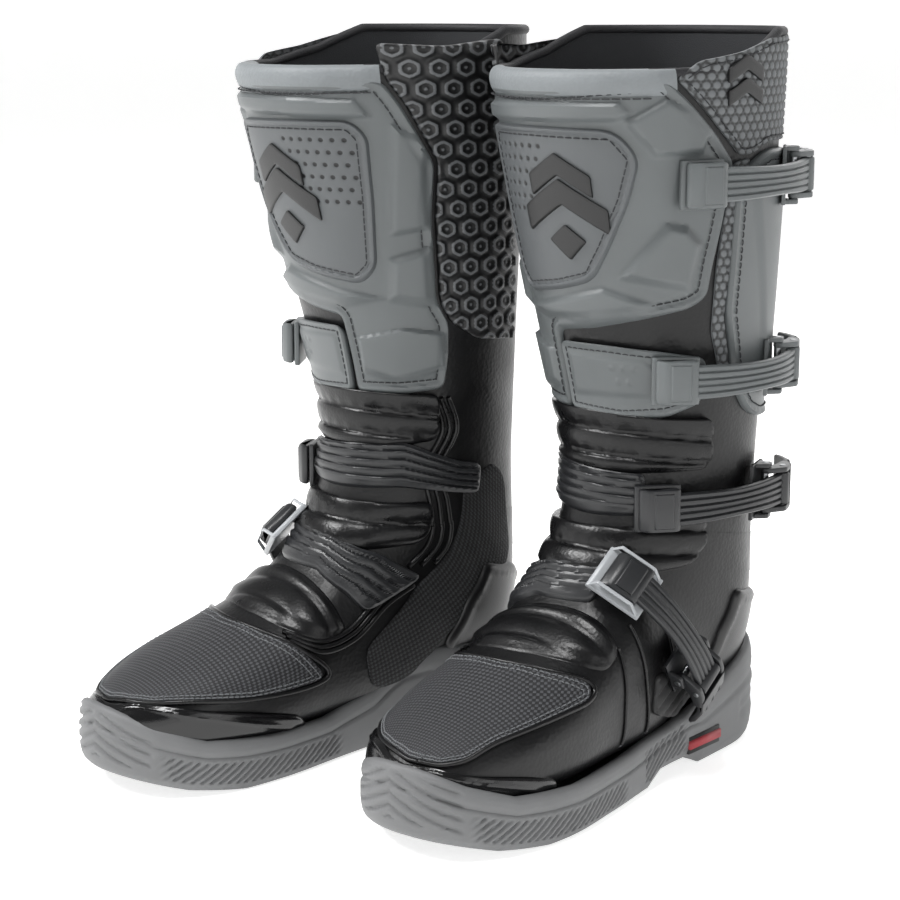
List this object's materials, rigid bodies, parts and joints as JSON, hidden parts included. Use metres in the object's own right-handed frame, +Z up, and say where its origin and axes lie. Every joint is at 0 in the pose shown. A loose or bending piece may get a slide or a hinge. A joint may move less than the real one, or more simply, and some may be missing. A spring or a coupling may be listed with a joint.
{
  "type": "pair of off-road riding boots",
  "caption": "Tall buckled off-road riding boots with moulded shin armour, padded collars, flexing ankles and rubber soles.",
  "frame": {"origin": "centre of the pair's outline on the ground", "axes": "+Z up, toes towards -Y, the wearer's left towards +X"},
  "size_m": [0.3124, 0.3502, 0.415],
  "materials": {
    "rubber_grey": "moulded grey rubber, satin",
    "rubber_red": "moulded red rubber",
    "foam_black": "brushed textile over foam",
    "leather_black": "coated microfibre leather, semi-gloss",
    "plastic_black": "gloss moulded polyurethane",
    "plastic_silver": "silver moulded nylon",
    "plastic_dark": "dark grey moulded nylon",
    "flex_mesh": "woven stretch mesh",
    "plastic_grey": "moulded thermoplastic polyurethane, satin",
    "grip_rubber": "hexagon-patterned moulded rubber on suede",
    "weave_grey": "basket-weave textile",
    "collar_grey": "soft padded synthetic leather",
    "lining": "brushed black lining"
  },
  "bodies": {
    "left_foot": {"left_outsole": "rubber_grey", "left_arch_insert": "rubber_red", "left_footbed": "foam_black", "left_foot_upper": "leather_black", "left_toe_guard": "plastic_black", "left_heel_counter": "leather_black", "left_instep_strap": "leather_black", "left_instep_catch": "plastic_silver", "left_instep_base": "plastic_dark"},
    "left_shaft": {"left_shaft_upper": "leather_black", "left_shin_plate": "plastic_grey", "left_shin_badge": "plastic_grey", "left_calf_plate": "plastic_grey", "left_grip_panel": "grip_rubber", "left_gaiter_panel": "weave_grey", "left_collar": "collar_grey", "left_liner": "lining", "left_shin_band": "plastic_grey", "left_ankle_strap": "leather_black", "left_shaft_catches": "plastic_grey", "left_shaft_bases": "plastic_grey", "left_flex_panel": "flex_mesh"},
    "left_calf_lever_body": {"left_calf_lever": "plastic_grey"},
    "left_calf_strap_body": {"left_calf_buckle_strap": "plastic_grey"},
    "left_shin_lever_body": {"left_shin_lever": "plastic_grey"},
    "left_shin_strap_body": {"left_shin_buckle_strap": "plastic_grey"},
    "left_ankle_lever_body": {"left_ankle_lever": "plastic_dark"},
    "left_ankle_strap_body": {"left_ankle_buckle_strap": "plastic_dark"},
    "left_instep_lever_body": {"left_instep_lever": "plastic_dark"},
    "left_instep_strap_body": {"left_instep_buckle_strap": "plastic_dark"},
    "right_foot": {"right_outsole": "rubber_grey", "right_arch_insert": "rubber_red", "right_footbed": "foam_black", "right_foot_upper": "leather_black", "right_toe_guard": "plastic_black", "right_heel_counter": "leather_black", "right_instep_strap": "leather_black", "right_instep_catch": "plastic_silver", "right_instep_base": "plastic_dark"},
    "right_shaft": {"right_shaft_upper": "leather_black", "right_shin_plate": "plastic_grey", "right_shin_badge": "plastic_grey", "right_calf_plate": "plastic_grey", "right_grip_panel": "grip_rubber", "right_gaiter_panel": "weave_grey", "right_collar": "collar_grey", "right_liner": "lining", "right_shin_band": "plastic_grey", "right_ankle_strap": "leather_black", "right_shaft_catches": "plastic_grey", "right_shaft_bases": "plastic_grey", "right_flex_panel": "flex_mesh"},
    "right_calf_lever_body": {"right_calf_lever": "plastic_grey"},
    "right_calf_strap_body": {"right_calf_buckle_strap": "plastic_grey"},
    "right_shin_lever_body": {"right_shin_lever": "plastic_grey"},
    "right_shin_strap_body": {"right_shin_buckle_strap": "plastic_grey"},
    "right_ankle_lever_body": {"right_ankle_lever": "plastic_dark"},
    "right_ankle_strap_body": {"right_ankle_buckle_strap": "plastic_dark"},
    "right_instep_lever_body": {"right_instep_lever": "plastic_dark"},
    "right_instep_strap_body": {"right_instep_buckle_strap": "plastic_dark"}
  },
  "joints": [
    {"name": "right_boot_place", "type": "slide", "parent": "left_foot", "child": "right_foot", "axis": [-1, 0, 0], "range_m": [0, 0.25]},
    {"name": "left_ankle_flex", "type": "hinge", "parent": "left_foot", "child": "left_shaft", "pos_m": [0.07499, 0.08785, 0.106], "axis": [0.9971, 0.0758, 0], "range_deg": [-3, 6], "stiffness_Nm_per_rad": 30, "deforming": ["left_flex_panel"]},
    {"name": "left_calf_lever_open", "type": "hinge", "parent": "left_shaft", "child": "left_calf_lever_body", "pos_m": [0.13662, 0.14343, 0.336], "axis": [0, 0, -1], "range_deg": [0, 100]},
    {"name": "left_calf_strap_swing", "type": "hinge", "parent": "left_calf_lever_body", "child": "left_calf_strap_body", "pos_m": [0.13676, 0.15593, 0.336], "axis": [0, 0, -1], "range_deg": [-130, 0]},
    {"name": "left_shin_lever_open", "type": "hinge", "parent": "left_shaft", "child": "left_shin_lever_body", "pos_m": [0.13169, 0.14066, 0.229], "axis": [0, 0, -1], "range_deg": [0, 100]},
    {"name": "left_shin_strap_swing", "type": "hinge", "parent": "left_shin_lever_body", "child": "left_shin_strap_body", "pos_m": [0.13314, 0.15308, 0.229], "axis": [0, 0, -1], "range_deg": [-130, 0]},
    {"name": "left_ankle_lever_open", "type": "hinge", "parent": "left_shaft", "child": "left_ankle_lever_body", "pos_m": [0.1267, 0.13961, 0.156], "axis": [0, 0, -1], "range_deg": [0, 100]},
    {"name": "left_ankle_strap_swing", "type": "hinge", "parent": "left_ankle_lever_body", "child": "left_ankle_strap_body", "pos_m": [0.12974, 0.15174, 0.156], "axis": [0, 0, -1], "range_deg": [-130, 0]},
    {"name": "left_instep_lever_open", "type": "hinge", "parent": "left_foot", "child": "left_instep_lever_body", "pos_m": [0.13218, 0.06889, 0.06926], "axis": [0.0758, -0.8252, -0.5598], "range_deg": [0, 100]},
    {"name": "left_instep_strap_swing", "type": "hinge", "parent": "left_instep_lever_body", "child": "left_instep_strap_body", "pos_m": [0.13813, 0.07543, 0.06042], "axis": [0.0758, -0.8252, -0.5598], "range_deg": [-130, 0]},
    {"name": "right_ankle_flex", "type": "hinge", "parent": "right_foot", "child": "right_shaft", "pos_m": [-0.07499, 0.03665, 0.106], "axis": [0.9971, -0.0758, 0], "range_deg": [-3, 6], "stiffness_Nm_per_rad": 30, "deforming": ["right_flex_panel"]},
    {"name": "right_calf_lever_open", "type": "hinge", "parent": "right_shaft", "child": "right_calf_lever_body", "pos_m": [-0.13662, 0.09223, 0.336], "axis": [0, 0, 1], "range_deg": [0, 100]},
    {"name": "right_calf_strap_swing", "type": "hinge", "parent": "right_calf_lever_body", "child": "right_calf_strap_body", "pos_m": [-0.13676, 0.10473, 0.336], "axis": [0, 0, 1], "range_deg": [-130, 0]},
    {"name": "right_shin_lever_open", "type": "hinge", "parent": "right_shaft", "child": "right_shin_lever_body", "pos_m": [-0.13169, 0.08946, 0.229], "axis": [0, 0, 1], "range_deg": [0, 100]},
    {"name": "right_shin_strap_swing", "type": "hinge", "parent": "right_shin_lever_body", "child": "right_shin_strap_body", "pos_m": [-0.13314, 0.10188, 0.229], "axis": [0, 0, 1], "range_deg": [-130, 0]},
    {"name": "right_ankle_lever_open", "type": "hinge", "parent": "right_shaft", "child": "right_ankle_lever_body", "pos_m": [-0.1267, 0.08841, 0.156], "axis": [0, 0, 1], "range_deg": [0, 100]},
    {"name": "right_ankle_strap_swing", "type": "hinge", "parent": "right_ankle_lever_body", "child": "right_ankle_strap_body", "pos_m": [-0.12974, 0.10053, 0.156], "axis": [0, 0, 1], "range_deg": [-130, 0]},
    {"name": "right_instep_lever_open", "type": "hinge", "parent": "right_foot", "child": "right_instep_lever_body", "pos_m": [-0.13218, 0.01769, 0.06926], "axis": [0.0758, 0.8252, 0.5598], "range_deg": [0, 100]},
    {"name": "right_instep_strap_swing", "type": "hinge", "parent": "right_instep_lever_body", "child": "right_instep_strap_body", "pos_m": [-0.13813, 0.02423, 0.06042], "axis": [0.0758, 0.8252, 0.5598], "range_deg": [-130, 0]}
  ],
  "couplings": [
    {"joint": "left_calf_strap_swing", "follows": "left_calf_lever_open", "ratio": -1.3},
    {"joint": "left_shin_strap_swing", "follows": "left_shin_lever_open", "ratio": -1.3},
    {"joint": "left_ankle_strap_swing", "follows": "left_ankle_lever_open", "ratio": -1.3},
    {"joint": "left_instep_strap_swing", "follows": "left_instep_lever_open", "ratio": -1.3},
    {"joint": "right_calf_strap_swing", "follows": "right_calf_lever_open", "ratio": -1.3},
    {"joint": "right_shin_strap_swing", "follows": "right_shin_lever_open", "ratio": -1.3},
    {"joint": "right_ankle_strap_swing", "follows": "right_ankle_lever_open", "ratio": -1.3},
    {"joint": "right_instep_strap_swing", "follows": "right_instep_lever_open", "ratio": -1.3}
  ]
}
